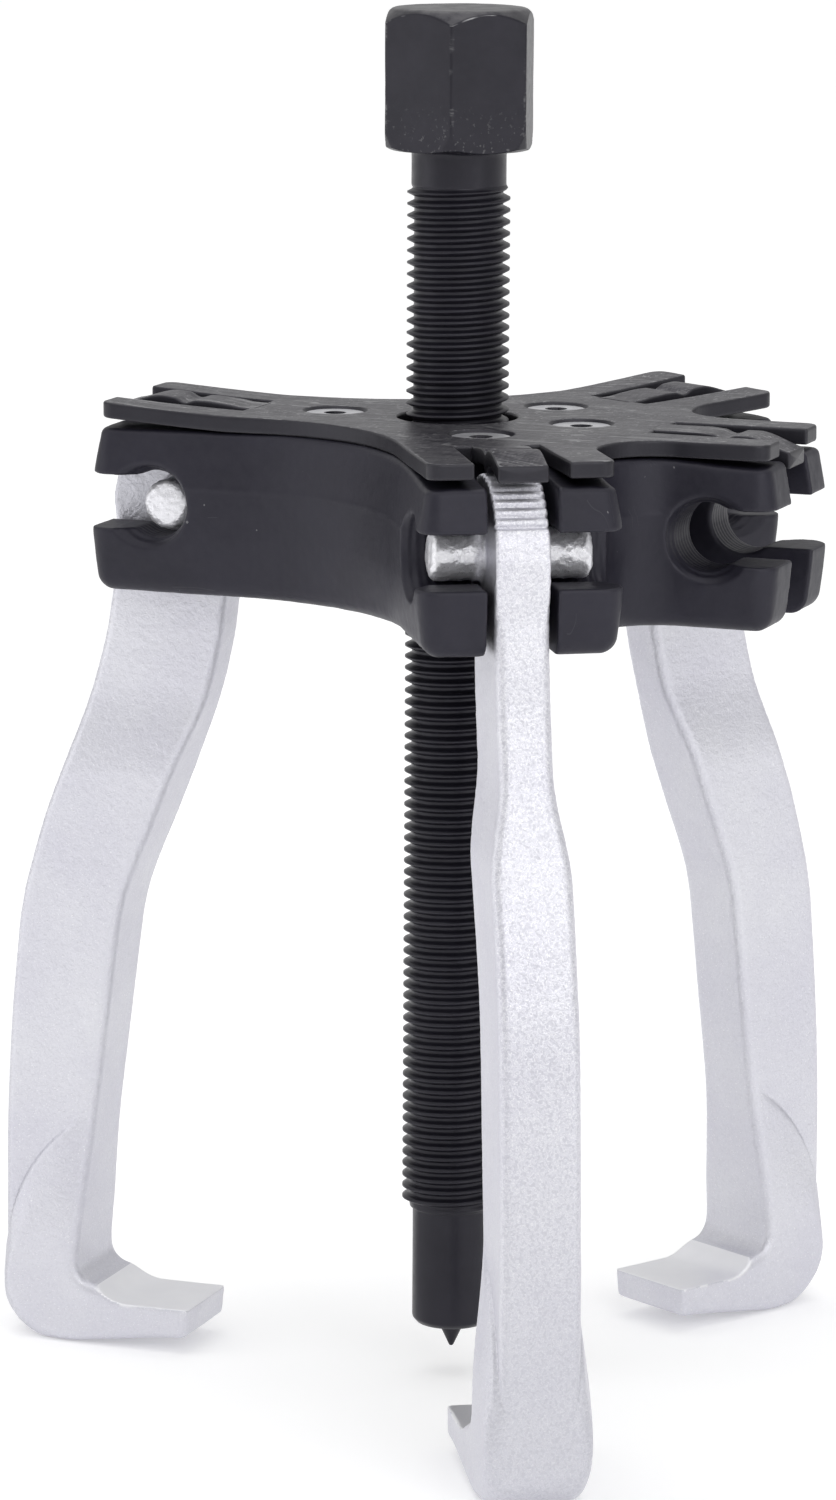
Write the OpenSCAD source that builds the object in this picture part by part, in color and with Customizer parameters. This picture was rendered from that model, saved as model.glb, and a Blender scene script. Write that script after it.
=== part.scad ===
// Three-leg quick-adjusting gear puller with a four-way crosshead.
// Origin: on the spindle axis at the flat end of the spindle nose. +Z runs up
// the spindle to the hex head. Arms point to azimuth 0 (empty), 60, 180, 300.

/* [Spindle] */
// Outside diameter of the M22 x 2.5 thread
thread_d = 22; // [20:0.5:24]
// Width of the hexagon across flats
hex_flats = 30; // [27:1:32]
// Height of the hexagon head
hex_h = 30; // [24:1:34]
// Length of the plain neck under the hexagon
neck_len = 7.3; // [5:0.1:10]
// Diameter of the plain neck
neck_d = 20.2; // [18:0.1:20.5]
// Length of the turned-down nose
nose_len = 26.3; // [20:0.1:32]
// Diameter of the turned-down nose
nose_d = 17.3; // [16:0.1:18]
// Length of the spindle from nose face to hexagon top
spindle_len = 287.5; // [270:0.5:300]
// Turn of the hexagon about the axis, degrees
hex_turn = -75.9; // [-90:0.1:90]

/* [Centre point] */
// Length of the cone that stands out of the nose
tip_len = 5.7; // [4:0.1:7]
// Diameter of the cone where it leaves the nose
tip_d = 5.9; // [5.2:0.1:5.9]
// Diameter of the centre point's shank inside the nose
shank_d = 6; // [5.8:0.1:7]

/* [Crosshead] */
// Height of the crosshead's top face above the origin
head_top = 197; // [190:0.5:205]
// Height of the forged crosshead
head_h = 35.9; // [33:0.1:38]
// Half width of an arm at its widest, at the parting line
arm_half = 21.2; // [20.5:0.1:22]
// Distance from the spindle axis to the end of an arm
arm_end = 77.3; // [75:0.1:78]
// Half width of the slot that a leg hangs in
slot_half = 7.3; // [6.5:0.1:7.6]
// Distance from the spindle axis to the inner end of the slot
slot_in = 43.5; // [42:0.5:44]
// Radius of the cross pocket that takes a leg's pin
pocket_r = 7.3; // [7.2:0.1:7.5]
// Distance from the spindle axis to the pocket's centre
pocket_at = 62; // [61.9:0.1:62.2]
// Radius of the pocket's flare at the side of an arm
flare_r = 9.2; // [8.8:0.1:9.4]
// Depth of the flare
flare_depth = 3.2; // [2.5:0.1:4]
// Height of the mouth through which a pin slides in
mouth_h = 11.4; // [11:0.1:11.6]

/* [Locking plate] */
// Thickness of the spring steel plate
plate_t = 3.5; // [3.2:0.1:3.7]
// Half width of a plate arm
plate_half = 19.4; // [18.5:0.1:20]
// Distance from the spindle axis to a plate arm's end
plate_end = 75; // [74:0.5:76]
// Half width of the gap between the two prongs of a plate arm
prong_gap_half = 9.3; // [8.8:0.1:9.8]
// Half width of a spring tongue
tongue_half = 5.2; // [4.6:0.1:5.6]
// Distance from the spindle axis to a tongue's root
tongue_root = 46; // [44:0.5:48]
// Lift of a tongue that rests on a leg, degrees
tongue_lift = 6; // [5:0.1:6.5]
// Depth of the detent ridge under a tongue
ridge_h = 1.5; // [0.8:0.05:1.5]
// Radius of the circle that the plate screws sit on
screw_at = 28; // [27:0.1:29]

/* [Legs] */
// Distance from the spindle axis to a leg's pivot
pivot_at = 60.6; // [60.3:0.05:60.9]
// Height of the pivots above the origin
pivot_z = 180.2; // [179.7:0.1:180.3]
// Radius of the toothed head of a leg
leg_head_r = 16.5; // [15.8:0.1:16.6]
// Radius of the cross pin forged on each leg
pin_r = 5.4; // [4.8:0.1:5.5]
// Half length of the cross pin
pin_half = 17; // [15:0.5:18]
// Half thickness of a leg at its head
leg_head_half = 5.7; // [5:0.1:6]
// Half thickness of a leg's shank
leg_shank_half = 8.45; // [7.5:0.1:9]
// Half width of a leg's foot
leg_foot_half = 11.4; // [10:0.1:12]
// Angle between two detent teeth on the head
tooth_deg = 8.3; // [7.5:0.1:9]

/* [Hidden] */

// azimuths of the arms, and all four of them counterclockwise
EMPTY = 0;
RIGHT = 60;
LEFT = 180;
FRONT = 300;
ARMS = [EMPTY, RIGHT, LEFT, FRONT];

clearance = 0.05;                // running clearance
over = 1;                        // how far a cut runs past a face
skin = 0.001;                    // least overlap, where a cut's size matters
cut_len = 60;                    // a cut longer or wider than any arm

head_bot = head_top - head_h;
plate_top = head_top + plate_t;
plate_mid = head_top + plate_t / 2;

screw_r = 3;                     // M6
screw_len = 14;
sink_r = 7.15;                   // 45 degree countersink at the plate's top face
sink_end_r = sink_r - plate_t;   // the same countersink at the crosshead's top face

// ring groove, half in the spindle's bore and half in the centre point
groove_bot = 5.2;
groove_h = 1.6;
groove_top = groove_bot + groove_h;

BLACK = [0.20, 0.20, 0.22];
DARK = [0.27, 0.27, 0.29];
STEEL = [0.32, 0.32, 0.34];
ZINC = [0.82, 0.83, 0.86];

// ---------- shared shapes ----------
function polar(r, angle) = [r * cos(angle), r * sin(angle)];
function arc(centre, r, from, to, steps) =
    [for (k = [0:steps]) centre + polar(r, from + (to - from) * k / steps)];

// smooth step from 0 to 1
function ease(u) = let (c = min(max(u, 0), 1)) c * c * (3 - 2 * c);

// Catmull-Rom curve from start to end; before and after are the neighbours
function catmull_rom(before, start, end, after, t) = 0.5 * (2 * start
    + (end - before) * t
    + (2 * before - 5 * start + 4 * end - after) * t * t
    + (3 * start - before - 3 * end + after) * t * t * t);
function smooth(rows, steps) = let (last = len(rows) - 1) concat(
    [for (i = [0:last - 1], k = [0:steps - 1]) catmull_rom(rows[max(i - 1, 0)],
        rows[i], rows[i + 1], rows[min(i + 2, last)], k / steps)],
    [rows[last]]);

// rounded end of a star's arm
function arm_end_points(azimuth, half, reach, corner) =
    [for (side = [-1, 1], k = [0:3]) let (turn = (side < 0 ? -90 : 0) + 30 * k)
        polar(reach - corner + corner * cos(turn), azimuth)
        + polar(side * (half - corner) + corner * sin(turn), azimuth + 90)];
// concave fillet from the arm at azimuth to the next one, gap degrees on
function gap_points(azimuth, gap, half, fillet, steps) =
    arc(polar((half + fillet) / sin(gap / 2), azimuth + gap / 2), fillet,
        azimuth - 90, azimuth - 90 - (180 - gap), steps);
// wide and narrow fillets lie between arms 120 and 60 degrees apart
function star_points(half, reach, corner, wide, narrow) =
    [for (i = [0:3])
        let (azimuth = ARMS[i], gap = (ARMS[(i + 1) % 4] - azimuth + 360) % 360, is_wide = gap > 90)
        each concat(arm_end_points(azimuth, half, reach, corner),
            gap_points(azimuth, gap, half, is_wide ? wide : narrow, is_wide ? 8 : 9))];
module star(half, reach, corner, wide, narrow, bottom, top) {
    translate([0, 0, bottom]) linear_extrude(top - bottom)
        polygon(star_points(half, reach, corner, wide, narrow));
}

// ---------- crosshead ----------
// distance from an arm's centreline to the centre of the fillet beside it
wide_fillet_at = 75.3;
narrow_fillet_at = 32.7;
boss_reach = 55;                 // reach of the raised middle of the top face
bore_r = thread_d / 2 + clearance;
bore_chamfer = 1.5;
tapped_depth = 14;

module arm_cuts() {
    // slot for the leg, open to the end, the top and the bottom
    translate([slot_in, -slot_half, head_bot - over])
        cube([cut_len, 2 * slot_half, head_h + 2 * over]);
    // round cross pocket and its mouth
    pocket_z = pivot_z + 0.4;
    translate([pocket_at, cut_len / 2, pocket_z]) rotate([90, 0, 0])
        cylinder(r = pocket_r, h = cut_len, $fn = 64);
    translate([pocket_at + 1, -cut_len / 2, pivot_z + 0.6 - mouth_h / 2])
        cube([30, cut_len, mouth_h]);
    // flares, carried 0.1 past the sides of the arm
    for (side = [-1, 1])
        translate([pocket_at + 1.2, side * (arm_half - flare_depth), pocket_z])
            rotate([-90 * side, 0, 0])
                cylinder(r1 = pocket_r, r2 = flare_r + 0.06, h = flare_depth + 0.1, $fn = 64);
}

// tapped hole of a plate screw and the end of its countersink
module screw_hole() {
    hole_r = screw_r + clearance;
    sink_depth = sink_end_r - hole_r;
    translate([screw_at, 0, head_top - tapped_depth]) cylinder(r = hole_r, h = 20, $fn = 48);
    translate([screw_at, 0, head_top - sink_depth])
        cylinder(r1 = hole_r, r2 = sink_end_r, h = sink_depth + skin, $fn = 48);
}

module spindle_bore() {
    chamfer_r = bore_r + bore_chamfer;
    translate([0, 0, head_bot - over]) cylinder(r = bore_r, h = head_h + 2 * over, $fn = 96);
    translate([0, 0, head_top - bore_chamfer])
        cylinder(r1 = bore_r, r2 = chamfer_r, h = bore_chamfer + skin, $fn = 96);
    translate([0, 0, head_bot - skin])
        cylinder(r1 = chamfer_r, r2 = bore_r, h = bore_chamfer + skin, $fn = 96);
}

// one layer of the forging, drawn in at the sides and at the arm ends
module tier(side_in, end_in, bottom, top, reach = arm_end) {
    half = arm_half - side_in;
    star(half, min(arm_end - end_in, reach), 3.5,
        wide_fillet_at - half, narrow_fillet_at - half, bottom, top);
}

module crosshead() {
    color(BLACK) difference() {
        union() {
            // widest at the parting line, drafted towards both faces
            tier(1.9, 2.2, head_bot, head_bot + 3.5);
            tier(0.8, 1, head_bot + 3.5, head_bot + 9);
            tier(0, 0, head_bot + 9, pivot_z + 5);
            tier(0.8, 1, pivot_z + 5, head_top - 5);
            tier(1.6, 1.9, head_top - 5, head_top - 1.2);
            tier(1.6, 1.9, head_top - 1.2, head_top, boss_reach);
        }
        for (azimuth = ARMS) rotate([0, 0, azimuth]) {
            arm_cuts();
            screw_hole();
        }
        spindle_bore();
    }
}

// ---------- locking plate ----------
plate_bore_r = 12.9;
seat_gap = 0.06;                 // play around a tongue's rounded root

module locking_plate() {
    color(DARK) difference() {
        star(plate_half, plate_end, 3, 47, 13, head_top, plate_top);
        translate([0, 0, head_top - over])
            cylinder(r = plate_bore_r, h = plate_t + 2 * over, $fn = 96);
        for (azimuth = ARMS) rotate([0, 0, azimuth]) {
            // gap between the prongs
            translate([tongue_root, -prong_gap_half, head_top - over])
                cube([cut_len, 2 * prong_gap_half, plate_t + 2 * over]);
            // rounded seat of the tongue's root
            translate([tongue_root, tongue_half + clearance, plate_mid]) rotate([90, 0, 0])
                cylinder(r = plate_t / 2 + seat_gap, h = 2 * (tongue_half + clearance), $fn = 48);
            // countersink
            translate([screw_at, 0, head_top - skin])
                cylinder(r1 = sink_end_r, r2 = sink_r, h = plate_t + 2 * skin, $fn = 64);
        }
    }
}

// ---------- spring tongues ----------
tongue_len = 29.8;
tongue_start = 0.1;              // where the blade begins inside the round root
detent_at = 15.2;                // middle of the pressed dip and of the ridge
dip_depth = 0.8;

// side profile of a relaxed tongue, x from its root: flat, a small step down,
// then a slope down to the tip
function tongue_line(x) = -0.3 * ease((x - 9) / 5) - 3.2 * ease((x - 20) / 11.5);
// a bump with its peak of 1 at the detent
function detent(x, half) = ease(1 - abs(x - detent_at) / half);
// the top has a pressed dip; the underside a ridge that drops between leg teeth
function tongue_top(x) = tongue_line(x) - dip_depth * detent(x, 2.8);
function tongue_under(x) = tongue_line(x) - ridge_h * detent(x, 2.2);

module tongue_shape() {
    steps = 40;
    blade_half_t = plate_t / 2 - 0.04;
    side_in = 0.02;              // the blade is this much narrower than its root, each side
    stations = [for (k = [0:steps]) tongue_start + (tongue_len - tongue_start) * k / steps];
    rotate([90, 0, 0]) union() {
        translate([0, 0, -tongue_half]) cylinder(r = plate_t / 2, h = 2 * tongue_half, $fn = 40);
        translate([0, 0, -tongue_half + side_in]) linear_extrude(2 * (tongue_half - side_in))
            polygon(concat(
                [for (x = stations) [x, blade_half_t + tongue_top(x)]],
                [for (k = [steps:-1:0]) let (x = stations[k]) [x, -blade_half_t + tongue_under(x)]]));
    }
}
module tongue(azimuth, lift) {
    color(DARK) rotate([0, 0, azimuth]) translate([tongue_root, 0, plate_mid])
        rotate([0, -lift, 0]) tongue_shape();
}
module tongue_left() { tongue(LEFT, tongue_lift); }
module tongue_front() { tongue(FRONT, tongue_lift); }
module tongue_right() { tongue(RIGHT, tongue_lift); }
module tongue_empty() { tongue(EMPTY, 0); }

// ---------- plate screws: M6 x 14 countersunk, hexagon socket ----------
screw_drop = 0.65;               // how far a screw head sits below the plate's top
screw_rim = 0.1;                 // height of the head's straight rim
socket_flats = 4;
socket_depth = 2.3;

module plate_screw(azimuth) {
    top = plate_top - screw_drop;
    body_r = screw_r - clearance;
    rim_r = sink_r - screw_drop - screw_rim - 2 * clearance;
    cone_h = rim_r - body_r;
    color(ZINC) rotate([0, 0, azimuth]) translate([screw_at, 0, 0]) difference() {
        union() {
            translate([0, 0, top - screw_rim]) cylinder(r = rim_r, h = screw_rim, $fn = 64);
            translate([0, 0, top - screw_rim - cone_h])
                cylinder(r1 = body_r, r2 = rim_r, h = cone_h, $fn = 64);
            // threaded body, run 0.1 into the cone
            translate([0, 0, top - screw_len])
                cylinder(r = body_r, h = screw_len - screw_rim - cone_h + 0.1, $fn = 48);
        }
        translate([0, 0, top - socket_depth]) cylinder(r = socket_flats / sqrt(3), h = 3, $fn = 6);
    }
}
module plate_screw_left() { plate_screw(LEFT); }
module plate_screw_front() { plate_screw(FRONT); }
module plate_screw_right() { plate_screw(RIGHT); }
module plate_screw_empty() { plate_screw(EMPTY); }

// ---------- spindle ----------
hex_bot = spindle_len - hex_h;
thread_top = hex_bot - neck_len;
shank_r = shank_d / 2;
shank_len = 13;
ball_r = shank_r - 0.03;
bore_depth = shank_len + 2 * ball_r + 0.25;

// nose, thread envelope and neck, run 0.5 into the hexagon
module spindle_shaft() {
    nose_r = nose_d / 2;
    thread_r = thread_d / 2;
    rotate_extrude($fn = 96) polygon([
        [0, 0], [nose_r - 1.2, 0], [nose_r, 1.2], [nose_r, nose_len],
        [thread_r - 1, nose_len], [thread_r, nose_len + 1],
        [thread_r, thread_top - 0.6], [thread_r - 0.6, thread_top],
        [neck_d / 2, thread_top], [neck_d / 2, hex_bot + 0.5], [0, hex_bot + 0.5]]);
}

// hexagon head, corners turned off at both ends
module hex_head() {
    flat_r = hex_flats / 2;
    intersection() {
        rotate([0, 0, hex_turn]) translate([0, 0, hex_bot])
            cylinder(r = hex_flats / sqrt(3), h = hex_h, $fn = 6);
        rotate_extrude($fn = 96) polygon([
            [0, hex_bot - 1], [flat_r + 0.4, hex_bot], [flat_r + 2.6, hex_bot + 1],
            [flat_r + 2.6, spindle_len - 2.2], [flat_r - 1, spindle_len],
            [0, spindle_len + skin]]);
    }
}

module spindle() {
    color(BLACK) difference() {
        union() {
            spindle_shaft();
            hex_head();
        }
        // blind bore for the centre point, with the retaining ring's groove
        translate([0, 0, -over]) cylinder(r = shank_r + clearance, h = bore_depth + over, $fn = 64);
        translate([0, 0, groove_bot]) cylinder(r = shank_r + 0.75, h = groove_h, $fn = 64);
    }
}

// ---------- parts in the spindle's nose ----------
module centre_point() {
    groove_r = shank_r - 0.7;
    color(STEEL) rotate_extrude($fn = 72) polygon([
        [0, -tip_len], [0.45, -tip_len], [tip_d / 2, -0.4], [tip_d / 2, 0], [shank_r, 0.3],
        [shank_r, groove_bot], [groove_r, groove_bot], [groove_r, groove_top], [shank_r, groove_top],
        [shank_r, shank_len - 0.6], [shank_r - 0.6, shank_len], [0, shank_len]]);
}
module thrust_ball() {
    color(ZINC) translate([0, 0, shank_len + 0.02 + ball_r]) sphere(r = ball_r, $fn = 64);
}
module retaining_ring() {
    color(ZINC) translate([0, 0, groove_bot + groove_h / 2])
        rotate_extrude($fn = 64) translate([shank_r + 0.03, 0]) circle(r = 0.6, $fn = 24);
}

// ---------- legs ----------
// Leg frame: origin at the pivot, x away from the spindle axis, z up.
// stations down the shank: [z, x of inner edge, x of outer edge]
LEG_STATIONS = [
    [0, -13, 15], [-10, -11.8, 16.1], [-21.5, -9.1, 17.9], [-31.5, -7.7, 19.6],
    [-45, -4.3, 23.4], [-58.5, 1.4, 28.0], [-72, 6.9, 33.2], [-86, 12.7, 37.4],
    [-94, 14.9, 39.1], [-101, 15.9, 40.0], [-121, 18.5, 41.8], [-144, 21.5, 42.9],
    [-171, 24.6, 43.1]];
// tip of the hook, top to bottom: [x, z]
HOOK_TIP = [[-2.35, -181.35], [-2.35, -182.2], [-1.85, -187.4], [-0.6, -188.1]];
foot_z = -192;                   // underside of the foot
tooth_notch = 1.35;              // side of the square cut between two teeth

module leg_profile() {
    rows = smooth(LEG_STATIONS, 4);
    inner = [for (row = rows) [row[1], row[0]]];
    outer = [for (i = [len(rows) - 1:-1:0]) [rows[i][2], rows[i][0]]];
    fillet = arc([20, -173.2], 4.6, 0, -80, 5);
    scoop = arc([12.6, -171.8], 9.5, -49, -88, 5);
    heel = arc([33.1, foot_z + 10.4], 10.2, -100, -4, 8);
    polygon(concat(inner, fillet, [[19.6, -178.15]], scoop, HOOK_TIP,
        [[25, foot_z + 0.6]], heel, outer));
}
module leg_teeth() {
    for (i = [-7:3]) rotate(90 + (i + 0.5) * tooth_deg)
        translate([leg_head_r, 0]) rotate(45) square(tooth_notch, center = true);
}

// half thickness at height z: head, shank, foot, then drawn in to the underside
function leg_half(z) = leg_head_half
    + (leg_shank_half - leg_head_half) * ease((-z - 42) / 21)
    + (leg_foot_half - leg_shank_half) * ease((-z - 150) / 26)
    - 1.6 * ease((-z - 181) / 11);
// heights at which the thickness is taken
LEG_HEIGHTS = concat([20, -40], [for (k = [1:6]) -40 - 4 * k],
    [-100, -150], [for (k = [1:6]) -150 - 26 * k / 6],
    [-181], [for (k = [1:4]) -181 - 3 * k]);

// side profile crossed with the thickness seen along x
module leg_body() {
    intersection() {
        rotate([90, 0, 0]) translate([0, 0, -15]) linear_extrude(30) difference() {
            union() {
                circle(r = leg_head_r, $fn = 96);
                leg_profile();
            }
            leg_teeth();
        }
        rotate([90, 0, 90]) translate([0, 0, -40]) linear_extrude(120) polygon(concat(
            [for (z = LEG_HEIGHTS) [leg_half(z), z]],
            [for (i = [len(LEG_HEIGHTS) - 1:-1:0]) let (z = LEG_HEIGHTS[i]) [-leg_half(z), z]]));
    }
}
module leg(azimuth) {
    color(ZINC) rotate([0, 0, azimuth]) translate([pivot_at, 0, pivot_z]) union() {
        leg_body();
        rotate([90, 0, 0]) translate([0, 0, -pin_half])
            cylinder(r = pin_r, h = 2 * pin_half, $fn = 64);
    }
}
module leg_left() { leg(LEFT); }
module leg_front() { leg(FRONT); }
module leg_right() { leg(RIGHT); }

crosshead();
locking_plate();
tongue_left();
tongue_front();
tongue_right();
tongue_empty();
plate_screw_left();
plate_screw_front();
plate_screw_right();
plate_screw_empty();
spindle();
centre_point();
thrust_ball();
retaining_ring();
leg_left();
leg_front();
leg_right();
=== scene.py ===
"""A puller: a four-armed crosshead under a locking plate, a forcing spindle through its
middle, and three hook legs hanging from its arms; the fourth arm, along +x, is empty.

The spindle's axis is the z axis and its lower end face is at z = 0. Lengths are in
millimetres and become metres where meshes and camera are made. The front arm points
roughly at the camera. Shader lengths, lights and the floor are in metres.
"""
import math
import bpy
import numpy as np
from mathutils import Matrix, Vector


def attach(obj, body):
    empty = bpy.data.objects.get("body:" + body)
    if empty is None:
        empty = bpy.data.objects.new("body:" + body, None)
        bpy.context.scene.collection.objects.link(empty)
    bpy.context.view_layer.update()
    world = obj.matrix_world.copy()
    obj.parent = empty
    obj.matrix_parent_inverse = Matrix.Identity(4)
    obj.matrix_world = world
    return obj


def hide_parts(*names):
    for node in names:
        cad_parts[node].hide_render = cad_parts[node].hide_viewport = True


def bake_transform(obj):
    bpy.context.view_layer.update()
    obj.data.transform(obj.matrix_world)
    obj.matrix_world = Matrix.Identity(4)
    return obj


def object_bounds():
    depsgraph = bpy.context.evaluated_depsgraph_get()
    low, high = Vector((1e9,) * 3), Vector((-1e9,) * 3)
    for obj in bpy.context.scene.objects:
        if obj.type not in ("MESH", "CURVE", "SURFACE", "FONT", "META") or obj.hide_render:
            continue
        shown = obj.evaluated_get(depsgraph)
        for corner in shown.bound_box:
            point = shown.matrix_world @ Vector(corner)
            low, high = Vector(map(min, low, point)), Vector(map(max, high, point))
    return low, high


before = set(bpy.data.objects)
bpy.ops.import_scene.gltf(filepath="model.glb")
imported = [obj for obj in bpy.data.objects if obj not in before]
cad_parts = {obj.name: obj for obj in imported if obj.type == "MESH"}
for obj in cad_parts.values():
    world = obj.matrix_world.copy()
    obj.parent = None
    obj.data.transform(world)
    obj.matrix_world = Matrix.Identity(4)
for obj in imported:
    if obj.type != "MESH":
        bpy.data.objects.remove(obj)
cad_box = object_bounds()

import openvdb as vdb
from mathutils import Matrix, Vector

MILLI = 0.001
FLOAT = np.float32

ARMS = [("empty", 0.0), ("right", 60.0), ("left", 180.0), ("front", 300.0)]  # bearing, degrees
PLATE_TOP = 200.5
PLATE_THICK = 3.5
PLATE_MID = PLATE_TOP - PLATE_THICK / 2
TONGUE_ROOT = 46.0              # radius at which the spring tongues leave the plate
TONGUE_LIFT = 6.0               # degrees a tongue rises over a leg
SCREW_RADIUS = 28.0             # plate screws, from the spindle's axis
PIVOT_RADIUS, PIVOT_Z = 60.6, 180.2     # leg pivots
HEX_BASE, HEX_TOP = 257.5, 287.5        # spindle head
HEX_BEARING = -75.9             # a corner of the head, degrees
SOCKET_TURN = {"left": 12, "front": 40, "right": 25, "empty": 5}    # screw sockets, degrees


# ------------------------------------------------------------------ distance fields
# A field holds signed distances, negative inside the material.
def smooth01(value):
    held = np.clip(value, 0.0, 1.0)
    return held * held * (3 - 2 * held)


def overlap(first, second, radius):
    """What two fields share, with a rounded edge."""
    corner = np.sqrt(np.maximum(first + radius, 0) ** 2 + np.maximum(second + radius, 0) ** 2)
    return np.minimum(np.maximum(first, second), -radius) + corner


def join(first, second, radius):
    """Two fields together, with a rounded inside corner."""
    return -overlap(-first, -second, radius)


def carve(body, tool, radius):
    """A body less a tool, with a rounded edge."""
    return overlap(body, -tool, radius)


def polygon_distance(x, y, corners):
    nearest = np.full(x.shape, 1e9, FLOAT)
    inside = np.zeros(x.shape, bool)
    for (x0, y0), (x1, y1) in zip(corners, np.roll(corners, -1, axis=0)):
        run, rise = x1 - x0, y1 - y0
        dx, dy = x - x0, y - y0
        squared = run * run + rise * rise
        if squared < 1e-12:
            continue
        share = np.clip((dx * run + dy * rise) / squared, 0, 1)
        nearest = np.minimum(nearest, (dx - run * share) ** 2 + (dy - rise * share) ** 2)
        if y0 != y1:
            inside ^= ((y0 <= y) != (y1 <= y)) & (x < run * dy / rise + x0)
    nearest = np.sqrt(nearest)
    return np.where(inside, -nearest, nearest).astype(FLOAT)


def rounded_box(x, y, centre, half, radius):
    dx = np.abs(x - centre[0]) - (half[0] - radius)
    dy = np.abs(y - centre[1]) - (half[1] - radius)
    outside = np.sqrt(np.maximum(dx, 0) ** 2 + np.maximum(dy, 0) ** 2)
    return np.minimum(np.maximum(dx, dy), 0) + outside - radius


def grid_axes(low, high, spacing):
    counts = np.ceil(np.subtract(high, low) / spacing).astype(int)
    return [(low[k] + spacing * np.arange(counts[k])).astype(FLOAT) for k in range(3)]


# ------------------------------------------------------------------ meshes
def face_outwards(points, tris, quads):
    """Reverses every face if the closed shape is inside out."""
    volume = 0.0
    for faces, corners in ((tris, (0, 1, 2)), (quads, (0, 1, 2)), (quads, (0, 2, 3))):
        first, second, third = (points[faces[:, k]] for k in corners)
        volume += np.einsum("ij,ij->i", first, np.cross(second, third)).sum()
    if volume < 0:
        return points, tris[:, ::-1], quads[:, ::-1]
    return points, tris, quads


def field_mesh(field, low, spacing):
    """The surface of a sampled field: points, triangles, quads."""
    limit = 4 * spacing
    grid = vdb.FloatGrid(background=limit)
    grid.copyFromArray(np.clip(field, -limit, limit).astype(FLOAT))
    grid.transform = vdb.createLinearTransform(voxelSize=spacing)
    points, tris, quads = grid.convertToPolygons(isovalue=0.0, adaptivity=0.0)
    points = points.astype(np.float64) + np.array(low, float)
    return face_outwards(points, tris.reshape(-1, 3), quads.reshape(-1, 4))


def tube_faces(rows, count, helix=None):
    """Faces of a closed tube of rows of points, whose two cap centres follow the rows.

    helix = (first row, last row, rows per turn)."""
    i, j = np.meshgrid(np.arange(rows - 1), np.arange(count), indexing="ij")
    beside = (j + 1) % count
    near, far = i, i + 1
    if helix:       # the end of a helical row runs on into the row one turn up
        first, last, per_turn = helix
        seam = (j == count - 1) & (i >= first) & (i < last)
        near = np.where(seam, np.minimum(i + per_turn, last), near)
        far = np.where(seam, np.minimum(i + 1 + per_turn, last), far)
    sides = (i * count + j, near * count + beside, far * count + beside, (i + 1) * count + j)
    quads = np.column_stack([side.ravel() for side in sides])
    start_centre, end_centre = rows * count, rows * count + 1
    end = (rows - 1) * count
    tris = [[start_centre, (k + 1) % count, k] for k in range(count)]
    tris += [[end_centre, end + k, end + (k + 1) % count] for k in range(count)]
    return np.array(tris), quads


def weld(points, tris, quads):
    """Joins coincident points; quads that lose a corner become triangles."""
    _, first, merged = np.unique(
        np.round(points, 3), axis=0, return_index=True, return_inverse=True)
    merged = merged.ravel()
    tris, quads = merged[tris], merged[quads]
    pinched = (quads == np.roll(quads, -1, axis=1)).any(1)
    pinched |= (quads[:, 0] == quads[:, 2]) | (quads[:, 1] == quads[:, 3])
    extra = []
    for quad in quads[pinched]:
        kept = [quad[k] for k in range(4) if quad[k] != quad[(k + 1) % 4]]
        if len(kept) == 3 and len(set(kept)) == 3:
            extra.append(kept)
    tris = tris[(tris != np.roll(tris, -1, axis=1)).all(1)]
    tris = np.vstack([tris, np.array(extra, int).reshape(-1, 3)])
    return points[first], tris, quads[~pinched]


def value_noise(points, scale, seed):
    """Smooth noise, -1 to 1."""
    cells = points / scale
    corner = np.floor(cells).astype(np.int64)
    part = cells - corner
    part = part * part * part * (part * (6 * part - 15) + 10)
    total = np.zeros(len(points))
    for step in np.ndindex(2, 2, 2):
        i, j, k = (corner + step).T
        mixed = i * 73856093 ^ j * 19349663 ^ k * 83492791 ^ (seed * 2654435761)
        mixed = (mixed ^ (mixed >> 13)) * 1274126177
        value = ((mixed ^ (mixed >> 16)) & 0xFFFFF) / float(0xFFFFF) * 2 - 1
        total += np.where(step, part, 1 - part).prod(axis=1) * value
    return total


def vertex_normals(points, tris, quads):
    normals = np.zeros_like(points)
    spans = ((quads, (2, 0), (3, 1)), (tris, (1, 0), (2, 0)))
    for faces, (a_end, a_start), (b_end, b_start) in spans:
        face_normals = np.cross(points[faces[:, a_end]] - points[faces[:, a_start]],
                                points[faces[:, b_end]] - points[faces[:, b_start]])
        for k in range(faces.shape[1]):
            np.add.at(normals, faces[:, k], face_normals)
    return normals / np.maximum(np.linalg.norm(normals, axis=1, keepdims=True), 1e-12)


def rotate_z(points, degrees):
    angle = math.radians(degrees)
    cos, sin = math.cos(angle), math.sin(angle)
    x, y, z = points.T
    return np.column_stack([x * cos - y * sin, x * sin + y * cos, z])


def add_object(name, data):
    thing = bpy.data.objects.new(name, data)
    bpy.context.scene.collection.objects.link(thing)
    return thing


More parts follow.
